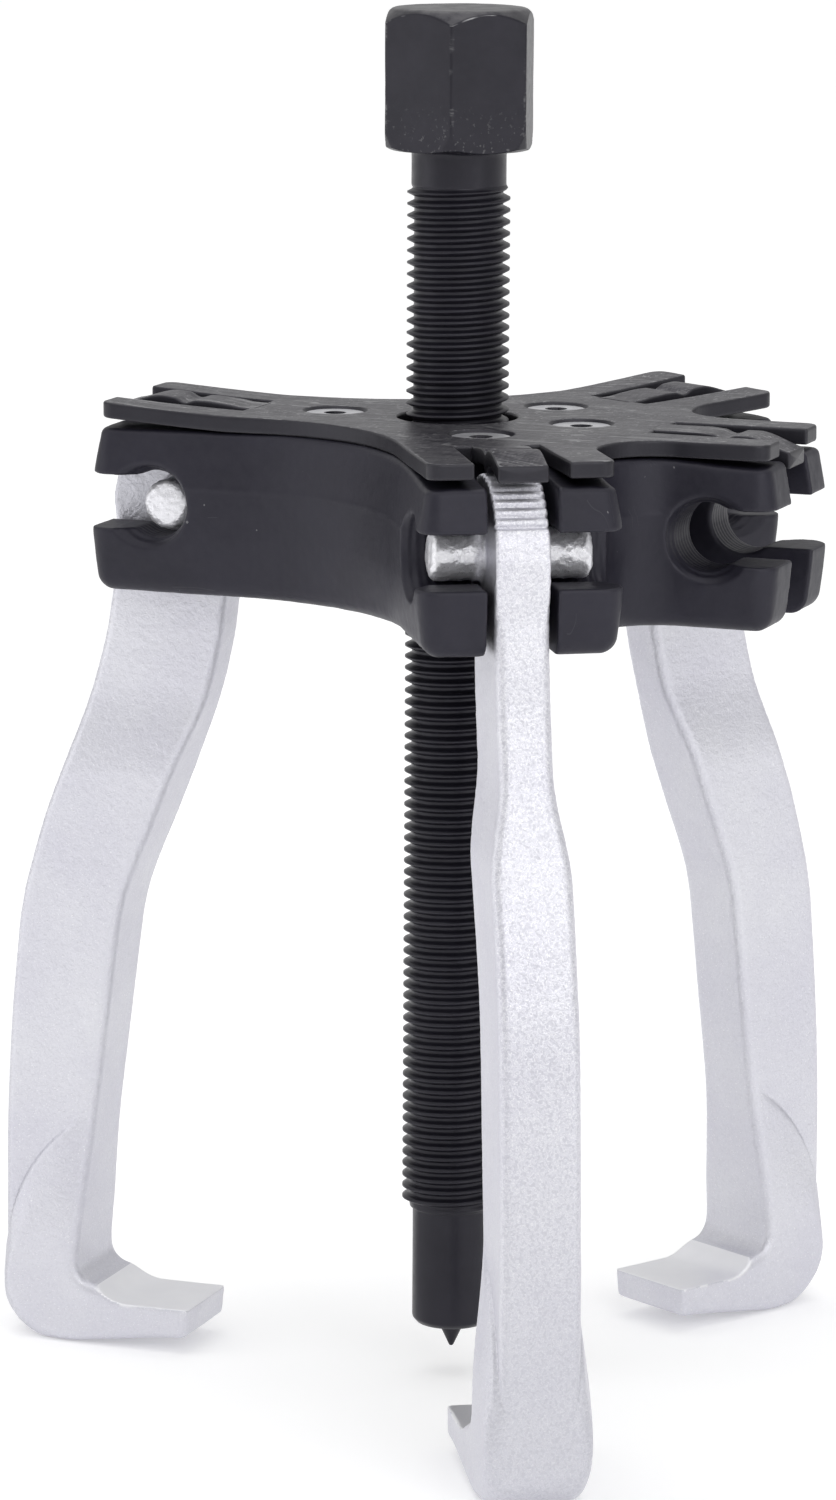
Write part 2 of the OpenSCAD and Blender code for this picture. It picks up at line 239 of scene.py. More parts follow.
def mesh_object(name, points, tris, quads, *materials):
    """A smooth-shaded object from points in millimetres."""
    mesh = bpy.data.meshes.new(name)
    mesh.vertices.add(len(points))
    mesh.vertices.foreach_set("co", (points * MILLI).astype(FLOAT).ravel())
    corners = np.concatenate([quads.ravel(), tris.ravel()]).astype(np.int32)
    quad_starts = np.arange(len(quads)) * 4
    tri_starts = len(quads) * 4 + np.arange(len(tris)) * 3
    starts = np.concatenate([quad_starts, tri_starts]).astype(np.int32)
    mesh.loops.add(len(corners))
    mesh.loops.foreach_set("vertex_index", corners)
    mesh.polygons.add(len(starts))
    mesh.polygons.foreach_set("loop_start", starts)
    mesh.update(calc_edges=True)
    mesh.validate()
    mesh.polygons.foreach_set("use_smooth", np.full(len(mesh.polygons), True))
    mesh.update()
    for material in materials:
        mesh.materials.append(material)
    return add_object(name, mesh)


def use_second_material(piece, on_quads, on_tris):
    indices = np.concatenate([on_quads, on_tris]).astype(np.int32)
    # if validate() dropped a face the two no longer match, and one material serves
    if len(indices) == len(piece.data.polygons):
        piece.data.polygons.foreach_set("material_index", indices)


def fit(piece, carrier, replaced):
    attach(piece, carrier)
    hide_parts(replaced)


# ------------------------------------------------------------------ shader nodes
class Signal:
    """A node's output; sums, products and comparisons of it make math nodes."""

    def __init__(self, tree, socket):
        self.tree = tree
        self.socket = socket

    def math(self, operation, *others):
        return calculate(self.tree, operation, self, *others)

    def __add__(self, other):
        return self.math("ADD", other)

    def __radd__(self, other):
        return calculate(self.tree, "ADD", other, self)

    def __sub__(self, other):
        return self.math("SUBTRACT", other)

    def __rsub__(self, other):
        return calculate(self.tree, "SUBTRACT", other, self)

    def __mul__(self, other):
        return self.math("MULTIPLY", other)

    def __truediv__(self, other):
        return self.math("DIVIDE", other)

    def __gt__(self, other):
        return self.math("GREATER_THAN", other)

    def __lt__(self, other):
        return self.math("LESS_THAN", other)

    def __abs__(self):
        return self.math("ABSOLUTE")

    def clamped(self):
        self.socket.node.use_clamp = True
        return self

    def ramp(self, stops):
        """stops: (position, grey) pairs"""
        result = new_signal(self.tree, "ValToRGB", {0: self})
        elements = result.socket.node.color_ramp.elements
        while len(elements) < len(stops):
            elements.new(0.5)
        for element, (position, grey) in zip(elements, stops):
            element.position = position
            element.color = (grey, grey, grey, 1)
        return result

    def rise(self, start, end):
        return self.ramp([(start, 0.0), (end, 1.0)])

    def fall(self, start, end):
        return self.ramp([(start, 1.0), (end, 0.0)])


def feed(tree, socket, value):
    """Links a signal to a socket, or sets its value."""
    if isinstance(value, Signal):
        tree.links.new(value.socket, socket)
    elif socket.type == "RGBA":
        socket.default_value = (*value, 1)
    else:
        socket.default_value = value


def new_signal(tree, kind, inputs, output=0, **settings):
    node = tree.nodes.new("ShaderNode" + kind)
    for name, value in settings.items():
        setattr(node, name, value)
    for key, value in inputs.items():
        feed(tree, node.inputs[key], value)
    return Signal(tree, node.outputs[output])


def calculate(tree, operation, *inputs):
    return new_signal(tree, "Math", dict(enumerate(inputs)), operation=operation)


class Shader:
    """The node tree of a material or world, with the base colour built up so far."""

    def __init__(self, owner, final="Principled BSDF", coordinates="Object"):
        owner.use_nodes = True
        self.owner = owner
        self.tree = owner.node_tree
        self.final = self.tree.nodes[final]
        self.place = self.add("TexCoord", {}, output=coordinates)
        self.colour = None

    def add(self, kind, inputs, **options):
        return new_signal(self.tree, kind, inputs, **options)

    def set(self, **inputs):
        """Feeds the final node; an underscore stands for a space."""
        for name, value in inputs.items():
            feed(self.tree, self.final.inputs[name.replace("_", " ")], value)

    def noise(self, scale, detail=3.0, rough=0.55, distortion=0.0, place=None):
        return self.add("TexNoise", {
            "Scale": scale, "Detail": detail, "Roughness": rough, "Distortion": distortion,
            "Vector": place or self.place}, output="Fac")

    def stretched_noise(self, stretch, turn=(0, 0, 0), shift=(0, 0, 0), detail=3, rough=0.6):
        place = self.add("Mapping", {
            "Scale": stretch, "Rotation": turn, "Location": shift, "Vector": self.place})
        return self.noise(scale=1.0, detail=detail, rough=rough, place=place)

    def blend(self, factor, first, second):
        self.colour = self.add("Mix", {0: factor, 6: first, 7: second},
                               output=2, data_type="RGBA")

    def tint(self, mask, colour, amount=None):
        """Lays a colour over the base where the mask is bright."""
        self.blend(mask if amount is None else mask * amount, self.colour, colour)

    def vector(self, operation, *inputs, output=0):
        return self.add("VectorMath", dict(enumerate(inputs)), output=output,
                        operation=operation)

    def normal(self):
        return self.add("NewGeometry", {}, output="Normal")

    def axes(self, vector):
        node = self.add("SeparateXYZ", {0: vector}).socket.node
        return [Signal(self.tree, socket) for socket in node.outputs]

    def attribute(self, name):
        return self.add("Attribute", {}, output="Fac", attribute_name=name)

    def edges(self, radius):
        """Edges, found where the bevelled normal leaves the true one: 0 to 1."""
        bevel = self.add("Bevel", {"Radius": radius}, samples=4)
        agreement = self.vector("DOT_PRODUCT", bevel, self.normal(), output="Value")
        return (1.0 - agreement).clamped()

    def scratches(self, seed, density, thin):
        """A few fine straight scratches at mixed angles: 0 to 1."""
        result = None
        for k, (angle, scale) in enumerate(((0.35, 90), (-0.7, 70), (1.25, 110))):
            wave = self.stretched_noise(
                stretch=(scale * 0.22, scale * 3.0, scale * 0.6),
                turn=(0.2 * k, 0.15, angle + seed),
                shift=(seed * 3.1 + k, seed, k * 1.7), detail=1.0, rough=0.4)
            patches = self.stretched_noise(
                stretch=(60, 60, 60), shift=(k * 5.3, seed * 7, 2), detail=1.0, rough=0.55)
            lines = (abs(wave - 0.5) < thin) * (patches > 1 - density)
            result = lines if result is None else result.math("MAXIMUM", lines)
        return result

    def finish(self, metallic, roughness, height, strength, depth):
        """height is bump height, of the given depth in metres"""
        bump = self.add("Bump", {"Strength": strength, "Distance": depth, "Height": height})
        self.set(Base_Color=self.colour, Metallic=metallic, Roughness=roughness, Normal=bump)
        return self.owner


def new_paint(name):
    return Shader(bpy.data.materials.new(name))


# ------------------------------------------------------------------ materials
def make_forged_black():
    paint = new_paint("forged_black")
    large = paint.noise(scale=45, detail=4, rough=0.6)
    medium = paint.noise(scale=420, detail=4, rough=0.6)
    fine = paint.noise(scale=2600, detail=3, rough=0.6)
    scratches = paint.scratches(seed=0.4, density=0.30, thin=0.003)
    paint.blend(large.rise(start=0.3, end=0.72),
                (0.0098, 0.0088, 0.0175), (0.0162, 0.0148, 0.0262))
    paint.tint(medium.rise(start=0.35, end=0.8), (0.026, 0.025, 0.035), amount=0.35)
    paint.tint(scratches, (0.12, 0.12, 0.13), amount=0.12)
    # small light specks, as on a handled tool
    cells = paint.add("TexVoronoi", {"Scale": 330, "Vector": paint.place}, output="Distance")
    specks = (cells < 0.10) * (paint.noise(scale=260, detail=2) > 0.66)
    paint.tint(specks, (0.24, 0.24, 0.25), amount=0.5)
    edges = (paint.edges(radius=0.0009) * 2.2).clamped()
    paint.tint(edges, (0.13, 0.13, 0.14), amount=0.35)
    return paint.finish(metallic=0.35, roughness=medium * 0.16 + 0.40,
                        height=medium * 1.0 + fine * 0.25 - scratches * 0.5,
                        strength=0.45, depth=0.00010)


def make_plate_black():
    paint = new_paint("plate_black")
    up = paint.axes(paint.normal())[2] > 0.85
    large = paint.noise(scale=60, detail=5, rough=0.62, distortion=0.3)
    medium = paint.noise(scale=520, detail=4, rough=0.6)
    paint.blend(large.rise(start=0.3, end=0.75), (0.0185, 0.0172, 0.0245), (0.042, 0.040, 0.050))
    # fine rubbing marks in two directions on the top face
    brushed = paint.stretched_noise(stretch=(240, 2600, 900), turn=(0, 0, 0.35))
    crossed = paint.stretched_noise(stretch=(2200, 260, 900), turn=(0, 0, -0.5))
    rubbed = (brushed * (crossed + 0.5)).rise(start=0.38, end=0.72) * up
    paint.tint(rubbed, (0.175, 0.170, 0.185), amount=0.75)
    scratches = paint.scratches(seed=1.3, density=0.5, thin=0.008)
    paint.tint(scratches * up, (0.34, 0.34, 0.35), amount=0.55)
    dots = paint.noise(scale=1100, detail=2, rough=0.5).rise(start=0.63, end=0.68)
    dots = dots * paint.noise(scale=75, detail=3).ramp(stops=[(0.40, 0.1), (0.60, 1.0)])
    paint.tint(dots * up, (0.40, 0.40, 0.41), amount=0.7)
    paint.tint(1.0 - up, (0.014, 0.0137, 0.019), amount=0.5)
    edges = (paint.edges(radius=0.0005) * 3.6).clamped()
    paint.tint(edges, (0.28, 0.28, 0.285), amount=0.75)
    return paint.finish(metallic=0.5, roughness=large * 0.22 + 0.30,
                        height=medium * 0.7 + brushed * 0.5 - scratches * 0.6,
                        strength=0.35, depth=0.00008)


def make_spindle_black(name="spindle_black"):
    paint = new_paint(name)
    large = paint.noise(scale=70, detail=4, rough=0.6)
    medium = paint.noise(scale=600, detail=4, rough=0.6)
    paint.blend(large.rise(start=0.3, end=0.75),
                (0.0096, 0.0088, 0.0148), (0.0168, 0.0155, 0.0235))
    edges = (paint.edges(radius=0.0005) * 2.0).clamped()
    patches = paint.noise(scale=160, detail=3).ramp(stops=[(0.4, 0.15), (0.7, 1.0)])
    paint.tint(edges * patches, (0.13, 0.13, 0.135), amount=0.5)

    # everything from here to the scratches is on the hexagon head
    x, y, z = paint.axes(paint.place)
    head_base = HEX_BASE * MILLI
    head = z > head_base
    normal_z = paint.axes(paint.normal())[2]

    def head_height():
        """0 at the underside, nearly 1 at the top"""
        return (z - head_base) * 33.0

    top_face = normal_z.rise(start=0.5, end=0.95) * head
    mottle = paint.noise(scale=210, detail=4, rough=0.65)
    paint.tint(top_face * mottle.ramp(stops=[(0.38, 0.10), (0.60, 0.90)]),
               (0.105, 0.102, 0.108))
    # worn ticks along the six upright corners
    sixths = (y.math("ARCTAN2", x) - math.radians(HEX_BEARING + 720)) / (math.pi / 3)
    jitter = (paint.stretched_noise(stretch=(60, 60, 900)) - 0.5) * 0.03
    from_corner = abs((sixths + jitter + 60.5).math("FRACT") - 0.5)
    corners = from_corner.fall(start=0.010, end=0.036)
    corners = corners * normal_z.ramp(stops=[(-0.9, 0.0), (0.0, 1.0), (0.3, 1.0), (0.45, 0.0)])
    ticks = paint.stretched_noise(stretch=(260, 260, 1900)).ramp(
        stops=[(0.46, 0.12), (0.58, 1.0)])
    levels = head_height().ramp(stops=[(0.05, 1.0), (0.50, 0.9), (0.62, 0.12), (0.85, 0.9)])
    paint.tint(corners * ticks * levels * head, (0.16, 0.16, 0.168), amount=0.85)
    # bright patches where the normal leans like the upper chamfer's
    rim = abs(normal_z - 0.30).fall(start=0.10, end=0.24)
    bright = rim * head * paint.noise(scale=110, detail=3).rise(start=0.50, end=0.60)
    paint.tint(bright, (0.42, 0.42, 0.43), amount=0.8)
    # nicks low on the head
    nicks = paint.noise(scale=900, detail=3, rough=0.6).rise(start=0.60, end=0.68)
    nicks = nicks * head_height().fall(start=0.0, end=0.38) * head
    paint.tint(nicks, (0.11, 0.11, 0.115), amount=0.7)

    scratches = paint.scratches(seed=2.2, density=0.25, thin=0.003)
    paint.tint(scratches, (0.10, 0.10, 0.11), amount=0.1)
    turning = paint.stretched_noise(stretch=(30, 30, 4200), detail=2, rough=0.5)
    return paint.finish(metallic=0.45, roughness=medium * 0.22 + 0.26,
                        height=medium * 0.6 + turning * 0.35 - scratches * 0.4,
                        strength=0.3, depth=0.00007)


def make_leg_zinc():
    paint = new_paint("leg_zinc")
    level = paint.vector("MULTIPLY", paint.place, (1, 1, 0))
    radial = paint.vector("NORMALIZE", level)
    facing = paint.vector("DOT_PRODUCT", radial, paint.normal(), output="Value")
    outer = facing.rise(start=0.35, end=0.8)    # faces turned away from the spindle
    z = paint.axes(paint.place)[2]
    large = paint.noise(scale=40, detail=4, rough=0.6)
    medium = paint.noise(scale=300, detail=3, rough=0.55)
    peel = paint.noise(scale=1500, detail=2, rough=0.5, distortion=0.5)
    fine = paint.noise(scale=3000, detail=2, rough=0.5)
    paint.blend(large.rise(start=0.3, end=0.72), (0.625, 0.62, 0.685), (0.69, 0.69, 0.735))
    # painted shade in the pits of the peel, stronger on the outer faces
    paint.tint(peel.fall(start=0.36, end=0.50) * (outer * 0.24 + 0.10), (0.42, 0.42, 0.47))
    # painted highlights: thin bright worm-like crests between the dimples, stronger on the outer
    # faces
    crest_highlights = abs(peel - 0.53).fall(start=0.006, end=0.028)
    paint.tint(crest_highlights * (outer * 0.55 + 0.06), (0.97, 0.97, 0.98))
    glints = fine.rise(start=0.64, end=0.72)
    paint.tint(glints, (0.97, 0.97, 0.98), amount=0.55)
    # painted shade: darker low on the outer faces
    paint.tint(outer * z.fall(start=0.02, end=0.095), (0.50, 0.50, 0.545), amount=0.55)
    # painted highlight along the breakout edges of the ground gripping face
    paint.tint(paint.attribute("painted_edge_highlight"), (0.99, 0.99, 0.99), amount=0.95)
    # painted light: the pins made paler
    paint.tint(paint.attribute("pin"), (0.93, 0.93, 0.95), amount=0.55)
    # painted shade: the flat sides inside the crosshead's slot darkened and made more metallic
    paint.tint(paint.attribute("painted_slot_shade"), (0.42, 0.42, 0.46), amount=0.5)
    pin = paint.attribute("pin")
    painted_slot_shade = paint.attribute("painted_slot_shade")
    return paint.finish(metallic=0.60 + pin * 0.04 + painted_slot_shade * 0.38,
                        roughness=medium * 0.16 + 0.34 - glints * 0.12 - pin * 0.08,
                        height=peel * 1.0 + fine * 0.30, strength=0.8, depth=0.00016)


def make_leg_zinc_machined():
    """The milled gripping face of a leg: the same plating on a smooth ground."""
    paint = new_paint("leg_zinc_machined")
    lines = paint.stretched_noise(stretch=(3200, 420, 420), detail=2, rough=0.5)
    large = paint.noise(scale=60, detail=3)
    paint.blend(large.rise(start=0.3, end=0.7), (0.86, 0.86, 0.895), (0.92, 0.92, 0.945))
    return paint.finish(metallic=0.70, roughness=lines * 0.12 + 0.34,
                        height=lines, strength=0.25, depth=0.00005)


def make_screw_zinc():
    paint = new_paint("screw_zinc")
    large = paint.noise(scale=300, detail=3)
    fine = paint.noise(scale=2500, detail=3)
    paint.blend(large.rise(start=0.35, end=0.7), (0.55, 0.55, 0.58), (0.68, 0.68, 0.70))
    return paint.finish(metallic=0.85, roughness=fine * 0.15 + 0.36,
                        height=fine, strength=0.25, depth=0.00005)


def make_bright_steel():
    paint = new_paint("bright_steel")
    fine = paint.noise(scale=1500, detail=3)
    paint.blend(fine, (0.58, 0.58, 0.60), (0.72, 0.72, 0.74))
    return paint.finish(metallic=1.0, roughness=fine * 0.1 + 0.12,
                        height=fine, strength=0.1, depth=0.00003)


FORGED = make_forged_black()
PLATE = make_plate_black()
SPINDLE = make_spindle_black()
ZINC = make_leg_zinc()
MILLED = make_leg_zinc_machined()
SCREW = make_screw_zinc()
STEEL = make_bright_steel()
# painted shade: a dark material for the wells of the screw sockets
SOCKET_SHADE = make_spindle_black("socket_painted_shade")


# ------------------------------------------------------------------ the four-armed plan
def polar(radius, degrees):
    angle = math.radians(degrees)
    return np.array([radius * math.cos(angle), radius * math.sin(angle)])


def star(half_width, length, corner, wide_fillet, narrow_fillet):
    """Outline with four arms; the fillets fill the 120 and the 60 degree gaps."""
    bearings = [bearing for _, bearing in ARMS]
    points = []
    for i, bearing in enumerate(bearings):
        gap = (bearings[(i + 1) % 4] - bearing) % 360
        for side, start in ((-1, -90), (1, 0)):
            for k in range(9):
                angle = math.radians(start + 90 * k / 8)
                along = length - corner + corner * math.cos(angle)
                across = side * (half_width - corner) + corner * math.sin(angle)
                points.append(polar(along, bearing) + polar(across, bearing + 90))
        fillet = wide_fillet if gap > 90 else narrow_fillet
        centre = polar((half_width + fillet) / math.sin(math.radians(gap / 2)),
                       bearing + gap / 2)
        for k in range(25):
            points.append(centre + polar(fillet, bearing - 90 - (180 - gap) * k / 24))
    return np.array(points)


def arm_coords(x, y):
    """Distance along, and offset across, the nearest arm of every point."""
    along = np.full(x.shape, -1e9, FLOAT)
    across = np.zeros(x.shape, FLOAT)
    for _, bearing in ARMS:
        cos, sin = math.cos(math.radians(bearing)), math.sin(math.radians(bearing))
        this_along = x * cos + y * sin
        this_across = -x * sin + y * cos
        nearer = this_along > along
        along = np.where(nearer, this_along, along)
        across = np.where(nearer, this_across, across)
    return along.astype(FLOAT), across.astype(FLOAT)


def arm_sectors(x, y):
    """Masks of the points around the left, right and front arms."""
    bearing = np.degrees(np.arctan2(y, x)) % 360
    left = (bearing > 120) & (bearing < 240)
    right = (bearing > 30) & (bearing <= 120)
    front = (bearing >= 240) & (bearing < 330)
    return left, right, front


# ------------------------------------------------------------------ crosshead
HEAD_TOP = PLATE_TOP - PLATE_THICK
HEAD_BOTTOM = 161.1
LEG_SLOT = {"centre": (43.5 + 40, 0), "half": (40, 7.3), "radius": 0.8}     # (along, across)
POCKET_RADIUS, POCKET_ALONG, POCKET_Z = 7.25, 62.0, 180.6   # cross pocket for the leg pins
TOOL_MARK_PITCH = 1.7
MOUTH_ALONG, MOUTH_Z, MOUTH_HALF = 63.7, 180.85, 5.75       # its opening at the arm's end
BORE_RADIUS = 11.05
SCREW_HOLE_RADIUS, SCREW_HOLE_BOTTOM = 3.0, 183.0


def crosshead_body(x, y, z, along, across):
    """The solid head without its slots and holes."""
    outline = polygon_distance(x, y, star(half_width=21.4, length=77.3, corner=4.8,
                                          wide_fillet=53.9, narrow_fillet=11.3))
    # the sides draw in above and below, with a slight ridge at the upper break
    depth = z - PLATE_TOP
    upper = np.clip((depth + 15.5) / 12.5, 0, 2)
    lower = np.clip((-26.0 - depth) / 13.4, 0, 2)
    ridge = 0.16 * np.exp(-((depth + 15.6) / 0.55) ** 2)
    body = outline[:, :, None] + (2.3 * upper ** 1.15 + 1.5 * lower ** 1.3 - ridge)
    # the top face sags towards the arm ends and a little at their sides
    left, right, _ = arm_sectors(x, y)
    sag = np.full(x.shape, 1.25, FLOAT)
    sag = np.where(left, 0.25, sag)
    sag = np.where(right, 0.7, sag)
    side_sag = smooth01((np.abs(across) - 13) / 7) * smooth01((along - 30) / 20)
    top = (HEAD_TOP - sag * smooth01((along - 48) / 24) - 0.3 * side_sag)[:, :, None]
    body = overlap(body, z - top, 1.2)
    return overlap(body, HEAD_BOTTOM - z, 3.4)


def carve_pocket(body, z, along, across):
    """The cross pocket, with coarse tool marks, flaring sideways, and its mouth."""
    along, across = along[:, :, None], np.abs(across)[:, :, None]
    flare = np.clip((across - 17.8) / 3.2, 0, 1) ** 1.2
    radius = (POCKET_RADIUS + 1.95 * flare
              + 0.12 * np.sin(across * (2 * math.pi / TOOL_MARK_PITCH)))
    pocket = np.sqrt((along - POCKET_ALONG - 1.3 * flare) ** 2 + (z - POCKET_Z) ** 2) - radius
    mouth = overlap(MOUTH_ALONG - along, np.abs(z - MOUTH_Z) - MOUTH_HALF, 0.3)
    return carve(body, join(pocket, mouth, 0.5), 0.55)


def build_crosshead():
    spacing = 0.42
    low, high = (-79.0, -79.0, 158.0), (79.0, 79.0, 200.0)
    xs, ys, zs = grid_axes(low, high, spacing)
    x, y = np.meshgrid(xs, ys, indexing="ij")
    z = zs[None, None, :]
    along, across = arm_coords(x, y)
    body = crosshead_body(x, y, z, along, across)
    body = carve(body, rounded_box(along, across, **LEG_SLOT)[:, :, None], 0.45)
    body = carve_pocket(body, z, along, across)
    # bore, chamfered at both ends, and screw holes, chamfered at the top
    chamfers = np.clip(z - 195.5, 0, 3) + np.clip(162.6 - z, 0, 3)
    bore = np.sqrt(x * x + y * y)[:, :, None] - (BORE_RADIUS + chamfers)
    body = np.maximum(body, -bore)
    hole = np.sqrt((along - SCREW_RADIUS) ** 2 + across * across)[:, :, None]
    hole = hole - (SCREW_HOLE_RADIUS + np.clip(z - 196.35, 0, 2))
    body = np.maximum(body, -np.maximum(hole, SCREW_HOLE_BOTTOM - z))
    points, tris, quads = field_mesh(body, low, spacing)

    # forged skin: low waves, orange peel and a few dents, faint on the cut faces
    normals = vertex_normals(points, tris, quads)
    along, across = arm_coords(points[:, 0], points[:, 1])
    in_slot = (np.abs(across) < 8.2) & (along > 40)
    in_pocket = np.hypot(along - MOUTH_ALONG, points[:, 2] - POCKET_Z) < 9.6
    in_bore = np.hypot(points[:, 0], points[:, 1]) < 13.5
    skin = (0.09 * value_noise(points, 14.0, 3) + 0.035 * value_noise(points, 3.1, 5)
            + 0.022 * value_noise(points, 1.25, 7) - 0.03)
    amount = np.where(in_slot | in_pocket | in_bore, 0.15, 1.0)
    points = points + normals * (amount * skin)[:, None]
    piece = mesh_object("crosshead_forging", points, tris, quads, FORGED)
    fit(piece, "crosshead", "crosshead")


# ------------------------------------------------------------------ locking plate
PLATE_BORE_RADIUS = 12.9
COUNTERSINK_RADIUS = 7.15       # at the top face; the cone is 45 degrees
PLATE_NOISE = ((0.035, 16.0, 11), (0.012, 2.2, 12))     # (height, scale, seed)


def build_plate():
    spacing = 0.3
    low, high = (-78.0, -78.0, 195.6), (78.0, 78.0, 202.2)
    xs, ys, zs = grid_axes(low, high, spacing)
    x, y = np.meshgrid(xs, ys, indexing="ij")
    z = zs[None, None, :]
    along, across = arm_coords(x, y)
    outline = polygon_distance(x, y, star(half_width=19.4, length=75.0, corner=3.0,
                                          wide_fillet=47.0, narrow_fillet=13.0))
    # one gap takes in the tongue and the slots beside it, opening slightly outwards
    gap_half = 8.9 + 0.9 * np.clip((along - TONGUE_ROOT) / 30, 0, 1)
    gap = np.maximum(TONGUE_ROOT - along, np.abs(across) - gap_half)
    outline = carve(outline, gap, 0.5)
    outline = np.maximum(outline, PLATE_BORE_RADIUS - np.hypot(x, y))
    plate = overlap(outline[:, :, None], np.abs(z - PLATE_MID) - PLATE_THICK / 2, 0.5)
    countersink = (np.hypot(along - SCREW_RADIUS, across)[:, :, None]
                   - (COUNTERSINK_RADIUS - (PLATE_TOP - z)))
    plate = carve(plate, countersink, 0.15)
    points, tris, quads = field_mesh(plate, low, spacing)

    normals = vertex_normals(points, tris, quads)
    skin = sum(height * value_noise(points, scale, seed) for height, scale, seed in PLATE_NOISE)
    points = points + normals * (skin - 0.02)[:, None]
    # the prongs beside a leg's tongue stand up a little
    along, across = arm_coords(points[:, 0], points[:, 1])
    rises = [1.7, 1.95 + 0.45 * np.clip(across / 14, -1, 1), 0.4]      # left, right, front
    bow = np.select(list(arm_sectors(points[:, 0], points[:, 1])), rises, -0.1)
    points[:, 2] += bow * np.clip((along - 45.5) / 29.5, 0, 1) ** 1.25
    piece = mesh_object("plate_star", points, tris, quads, PLATE)
    fit(piece, "crosshead", "locking_plate")


# ------------------------------------------------------------------ tongues
TONGUE_HALF_WIDTH = 5.2
TONGUE_EDGE = 0.45              # radius of the long edges
TONGUE_FLAT_POINTS = 9          # across each flat face
TONGUE_EDGE_STEPS = 4


def tongue_section():
    """Columns: offset across, whether on the upper face, height from that face."""
    edge, flat = TONGUE_EDGE, TONGUE_HALF_WIDTH - TONGUE_EDGE
    angles = [math.pi / 2 * k / TONGUE_EDGE_STEPS for k in range(TONGUE_EDGE_STEPS + 1)]
    side = [(flat + edge * math.sin(a), 1, -(edge - edge * math.cos(a))) for a in angles]
    side += [(flat + edge * math.cos(a), 0, edge - edge * math.sin(a)) for a in angles]
    row = [-flat + 2 * flat * (k + 1) / (TONGUE_FLAT_POINTS + 1)
           for k in range(TONGUE_FLAT_POINTS)]
    section = [(across, 1, 0.0) for across in row] + side
    section += [(-across, 0, 0.0) for across in row]
    section += [(-across, upper, height) for across, upper, height in side[::-1]]
    return np.array(section).T


def tongue_bend(out, groove_depth, groove_reach):
    """Height of a face: a step down, a groove across, then a long fall to the tip."""
    return (-0.3 * smooth01((out - 9) / 5)
            - groove_depth * smooth01(1 - abs(out - 15.2) / groove_reach)
            - 3.2 * smooth01((out - 20) / 11.5))


def build_tongue(key, bearing, lift):
    """A pressed spring tongue, swept along its length."""
    out = np.concatenate([[-1.4, -0.7], np.linspace(0.0, 29.4, 78), [29.65, 29.8]])[:, None]
    across, upper, height = tongue_section()
    # the root is a trifle thicker; the last two sections round off the tip
    half = PLATE_THICK / 2 + np.where(out < 0, 0.02, 0.0)
    thinned = np.select([out < 29.5, out < 29.7], [0.0, 0.12], 0.4)
    narrowed = np.select([out < 29.5, out < 29.7], [1.0, 0.985], 0.95)
    top = half + tongue_bend(out, groove_depth=0.8, groove_reach=2.8) - thinned
    bottom = -half + tongue_bend(out, groove_depth=1.5, groove_reach=2.2) + thinned
    z = np.where(upper > 0, top, bottom) + height
    # the tongue leaves the plate flat and rises by lift further out
    angle = math.radians(lift) * smooth01((out + 0.5) / 6.0)
    cos, sin = np.cos(angle), np.sin(angle)
    points = np.stack([TONGUE_ROOT + out * cos - z * sin, across * narrowed,
                       PLATE_MID + out * sin + z * cos], axis=-1)
    rows, count = z.shape
    points = np.vstack([points.reshape(-1, 3), points[0].mean(0), points[-1].mean(0)])
    points, tris, quads = face_outwards(points, *tube_faces(rows, count))
    name = "spring_tongue_" + key
    piece = mesh_object(name, rotate_z(points, bearing), tris, quads, PLATE)
    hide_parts("tongue_" + key)
    start, end = (tuple(polar(TONGUE_ROOT + offset, bearing) * MILLI) + (PLATE_MID * MILLI,)
                  for offset in (-0.5, 4.0))
    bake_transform(piece)


# ------------------------------------------------------------------ turned pieces
# places of a thread's rows in one pitch: 0.5 is mid crest, 1.0 mid root
THREAD_PHASES = [0.5 - 0.07, 0.5, 0.5 + 0.07, 0.72, 0.87, 0.93, 1.0, 1.07, 1.13, 1.28]


def thread_radius(phase, crest, root):
    """Flat crest, straight flanks, flat root."""
    from_crest = abs(phase % 1.0 - 0.5) * 2
    if from_crest < 0.14:
        return crest
    if from_crest > 0.74:
        return root
    return crest - (crest - root) * (from_crest - 0.14) / 0.60


class Turned:
    """A shape about the z axis, collected as rows of radii and heights."""

    def __init__(self, angles):
        self.angles = angles
        self.radii = []
        self.heights = []
        self.helix = None

    def ring(self, radius, z):
        count = len(self.angles)
        self.radii.append(np.full(count, radius))
        self.heights.append(np.full(count, float(z)))

    def rings(self, profile, base=0.0):
        for radius, z in profile:
            self.ring(radius, base + z)

    def thread(self, shares, bottom, top, pitch, crest, root, radii, fades):
        """A right-hand thread that runs out into plain rings at bottom and top.

        shares are the angles as parts of a turn; radii and fades are (bottom, top)."""
        start = len(self.radii)
        for turn in range(-1, math.ceil((top - bottom) / pitch) + 2):
            for phase in THREAD_PHASES:
                z = bottom + (turn + phase - 0.43) * pitch + pitch * shares
                z = np.clip(z, bottom, top)
                in_bottom = (z - bottom) / fades[0]
                radius = np.full(len(shares), thread_radius(phase, crest, root))
                radius = np.minimum(radius, radii[0] + in_bottom * (crest - radii[0]))
                for end, into in zip(radii, (in_bottom, (top - z) / fades[1])):
                    radius = end * (1 - smooth01(into)) + radius * smooth01(into)
                self.radii.append(radius)
                self.heights.append(z)
        self.helix = (start, len(self.radii) - 1, len(THREAD_PHASES))

    def mesh(self):
        radii, heights = np.asarray(self.radii), np.asarray(self.heights)
        points = np.column_stack([(radii * np.cos(self.angles)).ravel(),
                                  (radii * np.sin(self.angles)).ravel(), heights.ravel()])
        points = np.vstack([points, [0, 0, heights[0].mean()], [0, 0, heights[-1].mean()]])
        return face_outwards(*weld(points, *tube_faces(*radii.shape, self.helix)))


